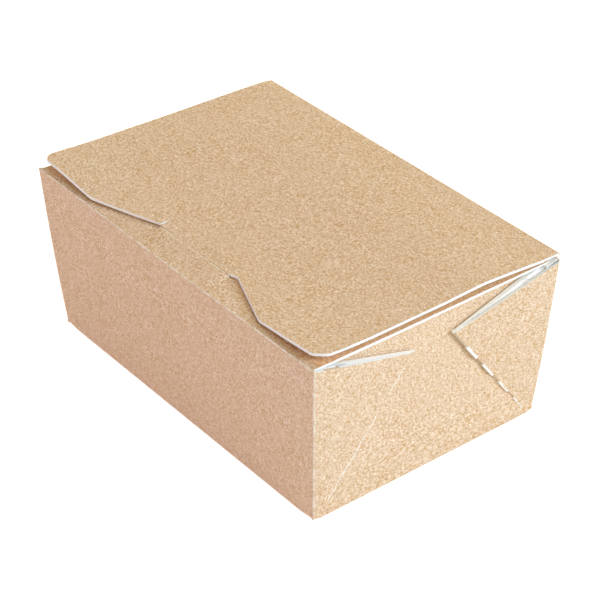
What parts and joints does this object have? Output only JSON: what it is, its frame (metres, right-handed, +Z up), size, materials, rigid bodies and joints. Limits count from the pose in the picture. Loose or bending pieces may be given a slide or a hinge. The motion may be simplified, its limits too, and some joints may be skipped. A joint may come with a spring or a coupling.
{
  "type": "ballotin box",
  "caption": "Small folded kraft carton for chocolates, with flared walls, glued web corners and a hinged cover flap whose tab tucks into a slot.",
  "frame": {"origin": "middle of the underside, on the surface that the box stands on", "axes": "+X along the box's length, -Y towards the long wall that carries the inner flap and the slot, +Z up"},
  "size_m": [0.1128, 0.0742, 0.0498],
  "materials": {
    "carton_board": "matt kraft board, white on the inside and at cut edges",
    "cover_board": "matt kraft board, white on the inside and at cut edges"
  },
  "bodies": {
    "carton": {"carton": "carton_board"},
    "cover": {"cover_flap": "cover_board"}
  },
  "joints": [
    {"name": "cover_hinge", "type": "hinge", "parent": "carton", "child": "cover", "pos_m": [0, 0.03678, 0.04702], "axis": [-1, 0, 0], "range_deg": [0, 180]}
  ]
}
